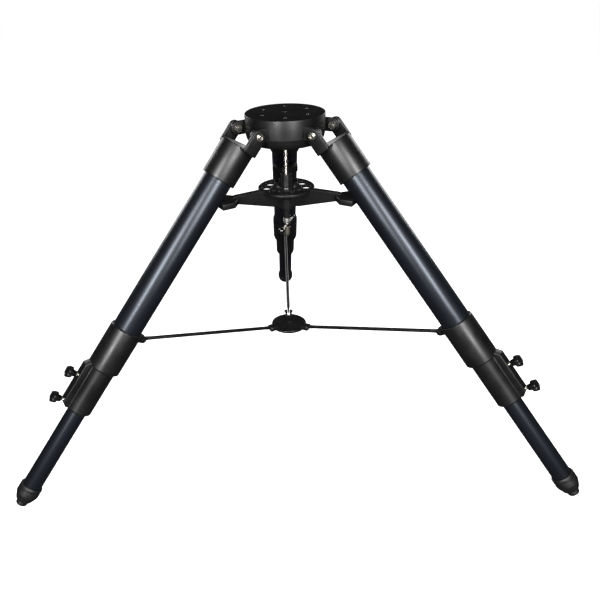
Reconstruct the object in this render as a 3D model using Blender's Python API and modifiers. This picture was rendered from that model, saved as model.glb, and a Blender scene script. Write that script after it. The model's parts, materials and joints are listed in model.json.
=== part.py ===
"""Heavy-duty field tripod for an equatorial telescope mount.

Metres, +Z up. The origin is where the tripod's vertical axis meets the floor.
The front is towards -Y: two legs point forward-left and forward-right, the third to the rear (+Y).
"""

import math

import bmesh
import bpy
from mathutils import Matrix, Vector

MM = 0.001
GAP = 0.3 * MM

# ---- driving dimensions --------------------------------------------------------------------
SPLAY = math.radians(40.0)
LEG_AZIMUTHS = {"left": 210.0, "right": 330.0, "rear": 90.0}

UPPER_TUBE_R = 38.1 * MM
LOWER_TUBE_R = 25.4 * MM
TUBE_WALL = 2.5 * MM

HEAD_R = 103.0 * MM
HEAD_H = 72.0 * MM
HEAD_TOP_PLATE = 16.0 * MM
HEAD_CAVITY_R = 80.0 * MM
BOLT_CIRCLE_R = 66.0 * MM
BOLT_HOLE_R = 5.0 * MM
BOLT_HOLE_DEPTH = 12.0 * MM
BOSS_R = 20.0 * MM
BOSS_BOTTOM = 50.0 * MM

# leg pivots, below the head's top face
PIVOT_R = 112.0 * MM
PIVOT_DROP = 34.0 * MM
LUG_R = 17.0 * MM
LUG_INSIDE = 48.0 * MM
LUG_OUTSIDE = 58.7 * MM
PRONG_INSIDE = 59.0 * MM
PRONG_OUTSIDE = 70.0 * MM
PRONG_HALF = 18.0 * MM
PIVOT_BOLT_R = 5.0 * MM
PIVOT_HOLE_R = 5.3 * MM

# distances down the leg from its pivot
SADDLE = 32.5 * MM
YOKE_END = 46.0 * MM
CAP_START = 42.0 * MM
CAP_END = 136.0 * MM
CAP_R = 45.0 * MM
UPPER_TUBE_START = 52.0 * MM
COLLAR_START = 585.0 * MM
COLLAR_END = 709.0 * MM
COLLAR_R = 43.2 * MM
UPPER_TUBE_END = 690.0 * MM
CLAMP_END = 841.0 * MM
CLAMP_R = 34.5 * MM
PAD_START = 700.0 * MM
PAD_END = 838.0 * MM
PAD_TOP = 54.0 * MM
PAD_HALF = 13.0 * MM
KNOB_PLACES = {"upper": 747.0 * MM, "lower": 824.0 * MM}
STUD_R = 4.0 * MM
LOWER_TUBE_START = 460.0 * MM
BOOT_START = 1085.0 * MM
BOOT_LENGTH = 48.0 * MM
BOOT_R = 30.0 * MM
TIP_R = 15.5 * MM
TIP_LENGTH = 16.0 * MM
TIP_ROUND = 7.0 * MM
TIP_FLAT = 1.0 * MM

# tray on the centre rod, below the head's top face
ROD_R = 5.0 * MM
ROD_HOLE_R = 5.4 * MM
ROD_TOP = 2.0 * MM
ROD_BOTTOM = 334.0 * MM
SPACER_TOP = 160.0 * MM
TRAY_TOP = 196.0 * MM
TRAY_PLATE = 7.0 * MM
TRAY_R = 76.0 * MM
TRAY_HUB_BOTTOM = 256.0 * MM
ARM_HALF = 7.0 * MM
CRADLE_TOP = 194.0 * MM
CRADLE_BOTTOM = 210.0 * MM
CRADLE_START = 172.0 * MM
CRADLE_END = 208.0 * MM
CRADLE_HALF = 37.0 * MM
CRADLE_CLEARANCE = 0.6 * MM
EYEPIECE_HOLE_R = 12.5 * MM
COLLAR_NUT_BOTTOM = 286.0 * MM
THRUST_RING_BOTTOM = 297.5 * MM
HANDLE_BOSS_BOTTOM = 311.2 * MM
BAR_DROP = 304.5 * MM
BAR_HALF = 46.0 * MM
BALL_R = 9.0 * MM
BAR_TURN = math.radians(72.0)

# lower spreader
STRUT_R = 5.0 * MM
STRUT_PIVOT_DOWN = 596.0 * MM
STRUT_PIVOT_IN = 54.0 * MM
HUB_PIVOT_R = 63.0 * MM
HUB_PIVOT_DROP = 622.0 * MM
HUB_R = 52.0 * MM
HUB_PLATE = 8.0 * MM

ROUND = 24
SMALL_ROUND = 12

# ---- heights worked out from the leg -------------------------------------------------------
tip_end = BOOT_START + BOOT_LENGTH + TIP_LENGTH
tip_low_point = (
    (tip_end - TIP_ROUND) * math.cos(SPLAY)
    + (TIP_R - TIP_ROUND) * math.sin(SPLAY)
    + TIP_ROUND
    - TIP_FLAT
)
HEAD_TOP = PIVOT_DROP + tip_low_point


def height(drop):
    """World height of a level given as a drop below the head's top face."""
    return HEAD_TOP - drop


# ---- scene ---------------------------------------------------------------------------------
def clear_scene():
    for thing in list(bpy.data.objects):
        bpy.data.objects.remove(thing, do_unlink=True)


def new_collection(name):
    made = bpy.data.collections.new(name)
    bpy.context.scene.collection.children.link(made)
    return made


clear_scene()
PARTS = new_collection("field_tripod")
TOOLS = new_collection("shaping_tools")


def material(name, colour, roughness, metallic):
    made = bpy.data.materials.new(name)
    made.use_nodes = True
    shader = made.node_tree.nodes["Principled BSDF"]
    shader.inputs["Base Color"].default_value = (*colour, 1.0)
    shader.inputs["Roughness"].default_value = roughness
    shader.inputs["Metallic"].default_value = metallic
    return made


BLACK_CASTING = material("black_casting", (0.014, 0.014, 0.014), 0.55, 0.0)
BLACK_TUBE = material("black_tube", (0.012, 0.013, 0.017), 0.35, 0.2)
BRIGHT_STEEL = material("bright_steel", (0.62, 0.60, 0.56), 0.25, 1.0)
ZINC = material("zinc", (0.42, 0.40, 0.34), 0.4, 1.0)
KNOB_PLASTIC = material("knob_plastic", (0.012, 0.012, 0.012), 0.4, 0.0)
GLOSS_PLASTIC = material("gloss_plastic", (0.008, 0.008, 0.008), 0.08, 0.0)
RUBBER = material("rubber", (0.012, 0.012, 0.012), 0.8, 0.0)


# ---- shaping helpers -----------------------------------------------------------------------
def tool(name, mesh):
    made = bpy.data.objects.new(name, mesh)
    TOOLS.objects.link(made)
    made.hide_render = True
    made.display_type = "WIRE"
    return made


def evaluated_mesh(shape):
    """The shape with its modifiers applied, in world space, as a new mesh."""
    graph = bpy.context.evaluated_depsgraph_get()
    mesh = bpy.data.meshes.new_from_object(shape.evaluated_get(graph))
    mesh.transform(shape.matrix_world)
    return mesh


def settle(shape):
    """Replace a shape by its evaluated mesh."""
    bpy.context.view_layer.update()
    made = tool(shape.name + "_settled", evaluated_mesh(shape))
    bpy.data.objects.remove(shape, do_unlink=True)
    return made


def turned(profile, steps=ROUND, closed=False):
    """A solid of revolution about Z. The profile is (radius, z) points, outer side top to bottom."""
    mesh = bpy.data.meshes.new("profile")
    count = len(profile)
    edges = [(i, i + 1) for i in range(count - 1)]
    if closed:
        edges.append((count - 1, 0))
    mesh.from_pydata([(r, 0.0, z) for r, z in profile], edges, [])
    shape = tool("turned", mesh)
    screw = shape.modifiers.new("turn", "SCREW")
    screw.axis = "Z"
    screw.angle = math.tau
    screw.steps = steps
    screw.render_steps = steps
    screw.use_merge_vertices = True
    screw.merge_threshold = 0.00001
    screw.use_normal_calculate = False
    return settle(shape)


def tube(outer, inner, top, bottom, steps=ROUND):
    ring = [(outer, top), (outer, bottom), (inner, bottom), (inner, top)]
    return turned(ring, steps, closed=True)


def box(low, high):
    work = bmesh.new()
    bmesh.ops.create_cube(work, size=1.0)
    size = Vector(high) - Vector(low)
    centre = (Vector(high) + Vector(low)) / 2
    place = Matrix.Translation(centre) @ Matrix.Diagonal((*size, 1.0))
    bmesh.ops.transform(work, matrix=place, verts=work.verts)
    mesh = bpy.data.meshes.new("box")
    work.to_mesh(mesh)
    work.free()
    return tool("box", mesh)


def cylinder(start, end, radius, steps=SMALL_ROUND, end_radius=None, spin=0.0):
    """A cylinder, or a cone with end_radius, between two points."""
    start, end = Vector(start), Vector(end)
    work = bmesh.new()
    bmesh.ops.create_cone(
        work,
        cap_ends=True,
        segments=steps,
        radius1=radius,
        radius2=radius if end_radius is None else end_radius,
        depth=(end - start).length,
    )
    aim = (end - start).to_track_quat("Z", "Y").to_matrix().to_4x4()
    place = Matrix.Translation((start + end) / 2) @ aim @ Matrix.Rotation(spin, 4, "Z")
    bmesh.ops.transform(work, matrix=place, verts=work.verts)
    mesh = bpy.data.meshes.new("cylinder")
    work.to_mesh(mesh)
    work.free()
    return tool("cylinder", mesh)


def ball(centre, radius, rings=10, segments=16):
    work = bmesh.new()
    bmesh.ops.create_uvsphere(work, u_segments=segments, v_segments=rings, radius=radius)
    bmesh.ops.translate(work, vec=Vector(centre), verts=work.verts)
    mesh = bpy.data.meshes.new("ball")
    work.to_mesh(mesh)
    work.free()
    return tool("ball", mesh)


def plate(outline, thickness):
    """A flat outline in the XY plane, thickness centred on z = 0."""
    curve = bpy.data.curves.new("outline", "CURVE")
    curve.dimensions = "2D"
    curve.fill_mode = "BOTH"
    curve.extrude = thickness / 2
    line = curve.splines.new("POLY")
    line.points.add(len(outline) - 1)
    for point, (x, y) in zip(line.points, outline):
        point.co = (x, y, 0.0, 1.0)
    line.use_cyclic_u = True
    made = bpy.data.objects.new("outline", curve)
    TOOLS.objects.link(made)
    bpy.context.view_layer.update()
    mesh = evaluated_mesh(made)
    bpy.data.objects.remove(made, do_unlink=True)
    work = bmesh.new()
    work.from_mesh(mesh)
    bmesh.ops.remove_doubles(work, verts=work.verts, dist=0.000001)
    bmesh.ops.recalc_face_normals(work, faces=work.faces)
    work.to_mesh(mesh)
    work.free()
    return tool("plate", mesh)


def tab_outline(root, tip, half_root, radius, steps=8):
    """A tongue along +X: square at the root, rounded about the tip's centre."""
    points = [(root, -half_root)]
    for i in range(steps + 1):
        turn = math.pi * (i / steps - 0.5)
        points.append((tip + radius * math.cos(turn), radius * math.sin(turn)))
    points.append((root, half_root))
    return points


def upright(shape):
    """Stand a flat plate up: its outline's Y becomes Z, its thickness runs along Y."""
    return moved(shape, Matrix.Rotation(math.radians(90), 4, "X"))


def moved(shape, matrix):
    shape.data.transform(matrix)
    shape.data.update()
    return shape


def combined(base, others, operation):
    """Union or cut the base with each other shape in turn."""
    for other in others:
        step = base.modifiers.new(operation, "BOOLEAN")
        step.operation = operation
        step.solver = "EXACT"
        step.object = other
    made = settle(base)
    for other in others:
        bpy.data.objects.remove(other, do_unlink=True)
    return tidied(made)


def tidied(shape):
    """Weld points a micron apart and merge the flat faces a Boolean has split."""
    work = bmesh.new()
    work.from_mesh(shape.data)
    bmesh.ops.remove_doubles(work, verts=work.verts, dist=0.002 * MM)
    bmesh.ops.dissolve_degenerate(work, edges=work.edges, dist=0.001 * MM)
    bmesh.ops.dissolve_limit(
        work, angle_limit=math.radians(0.2), verts=work.verts, edges=work.edges
    )
    work.to_mesh(shape.data)
    work.free()
    return shape


def joined(base, *others):
    return combined(base, others, "UNION")


def cut(base, *others):
    return combined(base, others, "DIFFERENCE")


def placed(name, shape, look, parent=None, matrix=None):
    """Make a finished part from a shape that is in its parent's frame."""
    mesh = shape.data
    mesh.name = name
    mesh.materials.clear()
    mesh.materials.append(look)
    mesh.shade_smooth()
    mesh.set_sharp_from_angle(angle=math.radians(32.0))
    part = bpy.data.objects.new(name, mesh)
    PARTS.objects.link(part)
    if parent is not None:
        part.parent = parent
    if matrix is not None:
        part.matrix_local = matrix
    if shape.name in bpy.data.objects:
        bpy.data.objects.remove(shape, do_unlink=True)
    return part


def copied(name, mesh, look, parent, matrix=None):
    """Another part that shares a finished mesh."""
    part = bpy.data.objects.new(name, mesh)
    PARTS.objects.link(part)
    part.parent = parent
    if matrix is not None:
        part.matrix_local = matrix
    return part


def frame(name, matrix, parent=None):
    made = bpy.data.objects.new(name, None)
    made.empty_display_size = 0.02
    PARTS.objects.link(made)
    made.parent = parent
    made.matrix_local = matrix
    return made


# ---- frames --------------------------------------------------------------------------------
def about_axis(azimuth):
    return Matrix.Rotation(math.radians(azimuth), 4, "Z")


head_frame = frame("head_frame", Matrix.Translation((0, 0, HEAD_TOP)))
# Leg frames: origin on the pivot, X out of the leg's upper side, Y along the pivot, Z up the leg.
leg_frames = {}
for side, azimuth in LEG_AZIMUTHS.items():
    pivot = Matrix.Translation((PIVOT_R, 0, height(PIVOT_DROP)))
    leg_frames[side] = frame(
        "leg_pivot_" + side,
        about_axis(azimuth) @ pivot @ Matrix.Rotation(-SPLAY, 4, "Y"),
    )


# ---- head ----------------------------------------------------------------------------------
def head_casting():
    profile = [
        (0.0, 0.0),
        (HEAD_R - 1.5 * MM, 0.0),
        (HEAD_R, -1.5 * MM),
        (HEAD_R, -48.0 * MM),
        (HEAD_R - 3.0 * MM, -60.0 * MM),
        (HEAD_R - 7.0 * MM, -67.5 * MM),
        (HEAD_R - 13.0 * MM, -HEAD_H),
        (HEAD_CAVITY_R, -HEAD_H),
        (HEAD_CAVITY_R, -HEAD_TOP_PLATE),
        (BOSS_R, -HEAD_TOP_PLATE),
        (BOSS_R, -BOSS_BOTTOM),
        (0.0, -BOSS_BOTTOM),
    ]
    body = turned(profile, steps=36)
    lugs = []
    for azimuth in LEG_AZIMUTHS.values():
        for hand in (-1, 1):
            outline = tab_outline(72.0 * MM, PIVOT_R, LUG_R, LUG_R)
            lug = upright(plate(outline, LUG_OUTSIDE - LUG_INSIDE))
            middle = hand * (LUG_INSIDE + LUG_OUTSIDE) / 2
            place = Matrix.Translation((0, middle, -PIVOT_DROP))
            lugs.append(moved(lug, about_axis(azimuth) @ place))
    body = joined(body, *lugs)
    holes = []
    for azimuth in LEG_AZIMUTHS.values():
        reach = LUG_OUTSIDE + 5 * MM
        hole = cylinder((PIVOT_R, -reach, -PIVOT_DROP), (PIVOT_R, reach, -PIVOT_DROP), PIVOT_HOLE_R)
        holes.append(moved(hole, about_axis(azimuth)))
    for i in range(6):
        hole = cylinder(
            (BOLT_CIRCLE_R, 0, -BOLT_HOLE_DEPTH), (BOLT_CIRCLE_R, 0, 2 * MM), BOLT_HOLE_R, steps=12
        )
        holes.append(moved(hole, about_axis(30.0 + 60.0 * i)))
    holes.append(cylinder((0, 0, -BOSS_BOTTOM - 2 * MM), (0, 0, 2 * MM), ROD_HOLE_R, steps=16))
    return cut(body, *holes)


placed("head_casting", head_casting(), BLACK_CASTING, head_frame)


# ---- leg pivots: a socket-head bolt and its nut on each side --------------------------------
BOLT_HEAD_R = 8.0 * MM
BOLT_HEAD_H = 7.0 * MM
NUT_R = 9.2 * MM
NUT_H = 7.0 * MM


def pivot_bolt(hand):
    inner = LUG_INSIDE - NUT_H - 2 * MM
    under_head = PRONG_OUTSIDE + GAP
    shank = cylinder((0, hand * inner, 0), (0, hand * (under_head + 1 * MM), 0), PIVOT_BOLT_R)
    head = cylinder(
        (0, hand * under_head, 0), (0, hand * (under_head + BOLT_HEAD_H), 0), BOLT_HEAD_R, steps=16
    )
    socket = cylinder(
        (0, hand * (under_head + 3 * MM), 0),
        (0, hand * (under_head + BOLT_HEAD_H + 2 * MM), 0),
        4.6 * MM,
        steps=6,
    )
    return cut(joined(shank, head), socket)


def pivot_nut(hand):
    outer = LUG_INSIDE - GAP
    body = cylinder((0, hand * (outer - NUT_H), 0), (0, hand * outer, 0), NUT_R, steps=6)
    bore = cylinder((0, hand * (outer - 2 * NUT_H), 0), (0, hand * (outer + NUT_H), 0), PIVOT_HOLE_R)
    return cut(body, bore)


# ---- leg pieces, in the leg frame ----------------------------------------------------------
def fork_casting():
    """Sleeve over the tube's top, a wide yoke across it and two prongs up to the pivot."""
    sleeve = turned(
        [
            (0.0, -CAP_START),
            (CAP_R - 1.0 * MM, -CAP_START),
            (CAP_R, -CAP_START - 1.0 * MM),
            (CAP_R, -CAP_END + 1.5 * MM),
            (CAP_R - 1.5 * MM, -CAP_END),
            (UPPER_TUBE_R + GAP, -CAP_END),
            (UPPER_TUBE_R + GAP, -UPPER_TUBE_START + GAP),
            (0.0, -UPPER_TUBE_START + GAP),
        ]
    )
    wide = PRONG_OUTSIDE - 1 * MM
    yoke = box((-PRONG_HALF, -wide, -YOKE_END), (PRONG_HALF, wide, -SADDLE))
    shapes = [yoke]
    for hand in (-1, 1):
        outline = tab_outline(-YOKE_END - 1 * MM, 0.0, PRONG_HALF + 0.3 * MM, PRONG_HALF)
        prong = upright(plate(outline, PRONG_OUTSIDE - PRONG_INSIDE))
        middle = hand * (PRONG_INSIDE + PRONG_OUTSIDE) / 2
        upwards = Matrix.Rotation(math.radians(-90), 4, "Y")
        shapes.append(moved(prong, Matrix.Translation((0, middle, 0)) @ upwards))
    body = joined(sleeve, *shapes)
    reach = PRONG_OUTSIDE + 5 * MM
    hole = cylinder((0, -reach, 0), (0, reach, 0), PIVOT_HOLE_R)
    return cut(body, hole)


def upper_tube():
    return tube(UPPER_TUBE_R, UPPER_TUBE_R - TUBE_WALL, -UPPER_TUBE_START, -UPPER_TUBE_END)


def lower_tube():
    end = -(BOOT_START + BOOT_LENGTH - 12 * MM)
    return tube(LOWER_TUBE_R, LOWER_TUBE_R - TUBE_WALL, -LOWER_TUBE_START, end)


STRUT_LUG_INSIDE = 3.2 * MM
STRUT_LUG_OUTSIDE = 9.0 * MM


def lock_casting():
    """Collar on the upper tube, clamp on the lower tube, stud pad outside, strut lugs inside."""
    body = turned(
        [
            (COLLAR_R - 2.0 * MM, -COLLAR_START),
            (COLLAR_R, -COLLAR_START - 3.0 * MM),
            (COLLAR_R, -COLLAR_END + 3.5 * MM),
            (COLLAR_R - 3.5 * MM, -COLLAR_END),
            (CLAMP_R, -COLLAR_END),
            (CLAMP_R, -CLAMP_END + 3.5 * MM),
            (CLAMP_R - 3.5 * MM, -CLAMP_END),
            (LOWER_TUBE_R + GAP, -CLAMP_END),
            (LOWER_TUBE_R + GAP, -UPPER_TUBE_END - GAP),
            (UPPER_TUBE_R + GAP, -UPPER_TUBE_END - GAP),
            (UPPER_TUBE_R + GAP, -COLLAR_START),
        ],
        closed=True,
    )
    root = 30.0 * MM
    corner = 11.0 * MM
    outline = [
        (root, -PAD_START),
        (PAD_TOP - corner, -PAD_START),
        (PAD_TOP, -PAD_START - corner),
        (PAD_TOP, -PAD_END + corner),
        (PAD_TOP - corner, -PAD_END),
        (root, -PAD_END),
    ]
    pad = upright(plate(outline, 2 * PAD_HALF))
    step = 37.5 * MM
    outline = [
        (root - 4 * MM, -PAD_START + 3 * MM),
        (step - 4.5 * MM, -PAD_START + 3 * MM),
        (step, -PAD_START - 1.5 * MM),
        (step, -PAD_END + 3 * MM),
        (step - 3.5 * MM, -PAD_END - 2 * MM),
        (root - 4 * MM, -PAD_END - 2 * MM),
    ]
    skirt = upright(plate(outline, 2 * PAD_HALF + 7 * MM))
    shapes = [pad, skirt]
    for hand in (-1, 1):
        outline = tab_outline(COLLAR_R - 2.0 * MM, STRUT_PIVOT_IN, 12.5 * MM, 10 * MM)
        lug = upright(plate(outline, STRUT_LUG_OUTSIDE - STRUT_LUG_INSIDE))
        middle = hand * (STRUT_LUG_INSIDE + STRUT_LUG_OUTSIDE) / 2
        place = Matrix.Translation((0, middle, -STRUT_PIVOT_DOWN))
        shapes.append(moved(lug, place @ Matrix.Rotation(math.pi, 4, "Z")))
    body = joined(body, *shapes)
    cuts = [
        cylinder(
            (-STRUT_PIVOT_IN, -20 * MM, -STRUT_PIVOT_DOWN),
            (-STRUT_PIVOT_IN, 20 * MM, -STRUT_PIVOT_DOWN),
            STRUT_PIN_R + GAP,
            steps=10,
        )
    ]
    for down in KNOB_PLACES.values():
        hole = cylinder((LOWER_TUBE_R - 2 * MM, 0, -down), (PAD_TOP + 5 * MM, 0, -down), STUD_R + GAP)
        cuts.append(hole)
    return cut(body, *cuts)


STRUT_PIN_R = 3.0 * MM


def strut_pin():
    """Rivet with a head on each side of the strut lugs."""
    reach = STRUT_LUG_OUTSIDE + GAP
    at = Vector((-STRUT_PIVOT_IN, 0, -STRUT_PIVOT_DOWN))
    side = Vector((0, 1, 0))
    shank = cylinder(at - side * (reach + 1 * MM), at + side * (reach + 1 * MM), STRUT_PIN_R, steps=10)
    heads = []
    for hand in (-1, 1):
        start = at + side * hand * reach
        end = at + side * hand * (reach + 3 * MM)
        heads.append(cylinder(start, end, 5.5 * MM, steps=10, end_radius=4.0 * MM))
    return joined(shank, *heads)


def lock_stud():
    """Clamp screw; its inner end stops just short of the lower tube. Along +X from the leg axis."""
    return cylinder((LOWER_TUBE_R + 2 * GAP, 0, 0), (72.0 * MM, 0, 0), STUD_R)


def lock_knob():
    """Six-lobed hand knob with a tapered hub. Along +X from the leg axis."""
    lobe_circle = 10.0 * MM
    lobe_r = 6.0 * MM
    face, back = 87.0 * MM, 71.0 * MM
    body = cylinder((60.5 * MM, 0, 0), (72.0 * MM, 0, 0), 8.0 * MM, steps=12, end_radius=10.0 * MM)
    core = cylinder((back, 0, 0), (face, 0, 0), 12.0 * MM, steps=12)
    lobes = []
    for i in range(6):
        turn = math.tau * i / 6
        y, z = lobe_circle * math.cos(turn), lobe_circle * math.sin(turn)
        lobes.append(cylinder((back, y, z), (face - 1.5 * MM, y, z), lobe_r, steps=9, spin=turn))
    body = joined(body, core, *lobes)
    bore = cylinder((55.0 * MM, 0, 0), (72.0 * MM + GAP, 0, 0), STUD_R + GAP)
    return cut(body, bore)


def foot_boot():
    top, bottom = -BOOT_START, -(BOOT_START + BOOT_LENGTH)
    bore = LOWER_TUBE_R + GAP
    return turned(
        [
            (0.0, bottom + 12.0 * MM - GAP),
            (bore, bottom + 12.0 * MM - GAP),
            (bore, top),
            (BOOT_R - 2.5 * MM, top),
            (BOOT_R, top - 4.0 * MM),
            (BOOT_R, top - 27.0 * MM),
            (BOOT_R - 2.0 * MM, top - 33.0 * MM),
            (BOOT_R - 8.5 * MM, bottom),
            (0.0, bottom),
        ],
        steps=24,
    )


def foot_tip():
    """Rounded rubber tip, cut flat where it stands on the floor."""
    top = -(BOOT_START + BOOT_LENGTH) - GAP
    bottom = -tip_end
    profile = [(0.0, top), (TIP_R, top)]
    for i in range(5):
        turn = math.radians(22.5 * i)
        radius = TIP_R - TIP_ROUND + TIP_ROUND * math.cos(turn)
        profile.append((radius, bottom + TIP_ROUND - TIP_ROUND * math.sin(turn)))
    profile.append((0.0, bottom))
    body = turned(profile, steps=20)
    floor = box((-0.1, -0.1, -0.1), (0.1, 0.1, 0.0))
    to_leg = leg_frames["left"].matrix_world.inverted()
    centre = leg_frames["left"].matrix_world @ Vector((0, 0, bottom))
    floor = moved(floor, to_leg @ Matrix.Translation((centre.x, centre.y, 0.0)))
    return cut(body, floor)


# ---- strut: a tube with pressed flat ends, in a frame at its outer pivot, +X towards the hub --
outer_r = PIVOT_R + STRUT_PIVOT_DOWN * math.sin(SPLAY) - STRUT_PIVOT_IN * math.cos(SPLAY)
outer_drop = PIVOT_DROP + STRUT_PIVOT_DOWN * math.cos(SPLAY) + STRUT_PIVOT_IN * math.sin(SPLAY)
STRUT_LENGTH = math.hypot(outer_r - HUB_PIVOT_R, HUB_PIVOT_DROP - outer_drop)
STRUT_SLOPE = math.atan2(HUB_PIVOT_DROP - outer_drop, outer_r - HUB_PIVOT_R)
TONGUE_HALF = 2.6 * MM
TONGUE_DEEP = 5.5 * MM


def strut():
    start, end = 17.0 * MM, STRUT_LENGTH - 17.0 * MM
    body = cylinder((start, 0, 0), (end, 0, 0), STRUT_R, steps=12)
    outline = tab_outline(-start - 6 * MM, 0.0, TONGUE_DEEP - 0.2 * MM, TONGUE_DEEP, steps=6)
    far_tongue = upright(plate(outline, 2 * TONGUE_HALF))
    near_tongue = upright(plate(outline, 2 * TONGUE_HALF))
    moved(near_tongue, Matrix.Rotation(math.pi, 4, "Z"))
    moved(far_tongue, Matrix.Translation((STRUT_LENGTH, 0, 0)))
    tongues = [near_tongue, far_tongue]
    body = joined(body, *tongues)
    hole = cylinder((0, -10 * MM, 0), (0, 10 * MM, 0), STRUT_PIN_R + GAP, steps=10)
    return cut(body, hole)


# ---- legs ----------------------------------------------------------------------------------
leg_meshes = {}


def leg_part(kind, side, build, look, parent, matrix=None):
    """A leg's part; the first leg builds the mesh and the others share it."""
    name = kind + "_" + side
    if kind in leg_meshes:
        return copied(name, leg_meshes[kind], look, parent, matrix)
    part = placed(name, build(), look, parent, matrix)
    leg_meshes[kind] = part.data
    return part


bpy.context.view_layer.update()
for side, leg_frame in leg_frames.items():
    leg_part("pivot_bolt_a", side, lambda: pivot_bolt(-1), BRIGHT_STEEL, leg_frame)
    leg_part("pivot_bolt_b", side, lambda: pivot_bolt(1), BRIGHT_STEEL, leg_frame)
    leg_part("pivot_nut_a", side, lambda: pivot_nut(-1), BRIGHT_STEEL, leg_frame)
    leg_part("pivot_nut_b", side, lambda: pivot_nut(1), BRIGHT_STEEL, leg_frame)
    leg_part("fork_casting", side, fork_casting, BLACK_CASTING, leg_frame)
    leg_part("upper_tube", side, upper_tube, BLACK_TUBE, leg_frame)
    leg_part("lock_casting", side, lock_casting, BLACK_CASTING, leg_frame)
    leg_part("strut_pin", side, strut_pin, BRIGHT_STEEL, leg_frame)
    leg_part("lower_tube", side, lower_tube, BLACK_TUBE, leg_frame)
    leg_part("foot_boot", side, foot_boot, RUBBER, leg_frame)
    leg_part("foot_tip", side, foot_tip, RUBBER, leg_frame)
    for place, down in KNOB_PLACES.items():
        axis = frame(
            "knob_axis_" + place + "_" + side, Matrix.Translation((0, 0, -down)), leg_frame
        )
        for kind, build, look in (
            ("lock_stud_", lock_stud, BRIGHT_STEEL),
            ("lock_knob_", lock_knob, KNOB_PLASTIC),
        ):
            name = kind + place + "_" + side
            if kind in leg_meshes:
                copied(name, leg_meshes[kind], look, axis)
            else:
                leg_meshes[kind] = placed(name, build(), look, axis).data
    strut_at = Matrix.Translation((outer_r, 0, height(outer_drop)))
    inward = Matrix.Rotation(math.pi, 4, "Z") @ Matrix.Rotation(STRUT_SLOPE, 4, "Y")
    strut_frame = frame(
        "strut_axis_" + side, about_axis(LEG_AZIMUTHS[side]) @ strut_at @ inward
    )
    leg_part("strut", side, strut, BLACK_CASTING, strut_frame)


# ---- tray and centre rod -------------------------------------------------------------------
def cradle_outline():
    """Side view of one arm: radius and drop, from the hub out to the leg tube."""
    return [
        (12.0, 208.0),
        (60.0, 197.0),
        (85.0, 190.5),
        (152.0, 190.0),
        (178.0, 196.0),
        (178.0, 209.0),
        (146.0, 215.0),
        (40.0, 245.0),
        (12.0, 248.0),
    ]


def tray_spreader():
    top = TRAY_TOP
    under = top + TRAY_PLATE
    body = turned(
        [
            (0.0, -205.0 * MM),
            (19.5 * MM, -205.0 * MM),
            (20.5 * MM, -201.0 * MM),
            (28.0 * MM, -top),
            (TRAY_R - 1.0 * MM, -top),
            (TRAY_R, -top - 1.0 * MM),
            (TRAY_R, -under + 1.0 * MM),
            (TRAY_R - 1.0 * MM, -under),
            (33.0 * MM, -under),
            (33.0 * MM, -208.0 * MM),
            (24.0 * MM, -216.0 * MM),
            (20.0 * MM, -228.0 * MM),
            (20.0 * MM, -TRAY_HUB_BOTTOM + 1.5 * MM),
            (18.5 * MM, -TRAY_HUB_BOTTOM),
            (0.0, -TRAY_HUB_BOTTOM),
        ],
        steps=36,
    )
    shapes = []
    for azimuth in LEG_AZIMUTHS.values():
        outline = [(r * MM, -drop * MM) for r, drop in cradle_outline()]
        arm = upright(plate(outline, 2 * ARM_HALF))
        web = [
            (146.0 * MM, -ARM_HALF),
            (CRADLE_START, -CRADLE_HALF),
            (CRADLE_END, -CRADLE_HALF),
            (CRADLE_END, CRADLE_HALF),
            (CRADLE_START, CRADLE_HALF),
            (146.0 * MM, ARM_HALF),
        ]
        head = plate(web, CRADLE_BOTTOM - CRADLE_TOP)
        head = moved(head, Matrix.Translation((0, 0, -(CRADLE_BOTTOM + CRADLE_TOP) / 2)))
        shapes.append(moved(joined(arm, head), about_axis(azimuth)))
    body = joined(body, *shapes)
    cuts = [cylinder((0, 0, -0.3), (0, 0, -0.15), ROD_HOLE_R, steps=16)]
    clear_r = UPPER_TUBE_R + CRADLE_CLEARANCE
    for azimuth in LEG_AZIMUTHS.values():
        # the leg's side of a plane along the leg axis, and the tube itself
        tube_cut = cylinder((0, 0, -80 * MM), (0, 0, -330 * MM), clear_r, steps=32)
        beyond = box((-22.0 * MM, -0.1, -0.4), (0.1, 0.1, 0.0))
        to_leg = (
            about_axis(azimuth)
            @ Matrix.Translation((PIVOT_R, 0, -PIVOT_DROP))
            @ Matrix.Rotation(-SPLAY, 4, "Y")
        )
        cuts.append(moved(joined(tube_cut, beyond), to_leg))
    for azimuth in LEG_AZIMUTHS.values():
        for offset, radius in ((-38.0, 53.0), (0.0, 50.0), (38.0, 53.0)):
            hole = cylinder(
                (radius * MM, 0, -0.2095), (radius * MM, 0, -0.15), EYEPIECE_HOLE_R, steps=16
            )
            cuts.append(moved(hole, about_axis(azimuth + 60.0 + offset)))
    return cut(body, *cuts)


def rod_spacer():
    bore, outer = ROD_HOLE_R, 14.0 * MM
    return turned(
        [
            (outer - 1.0 * MM, -SPACER_TOP),
            (outer, -SPACER_TOP - 1.0 * MM),
            (outer, -198.0 * MM),
            (16.5 * MM, -202.0 * MM),
            (16.5 * MM, -205.0 * MM + GAP),
            (bore, -205.0 * MM + GAP),
            (bore, -SPACER_TOP),
        ],
        steps=28,
        closed=True,
    )


def tension_collar():
    top = -TRAY_HUB_BOTTOM - GAP
    return turned(
        [
            (8.5 * MM, top),
            (8.5 * MM, -COLLAR_NUT_BOTTOM),
            (ROD_HOLE_R, -COLLAR_NUT_BOTTOM),
            (ROD_HOLE_R, top),
        ],
        steps=24,
        closed=True,
    )


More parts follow.
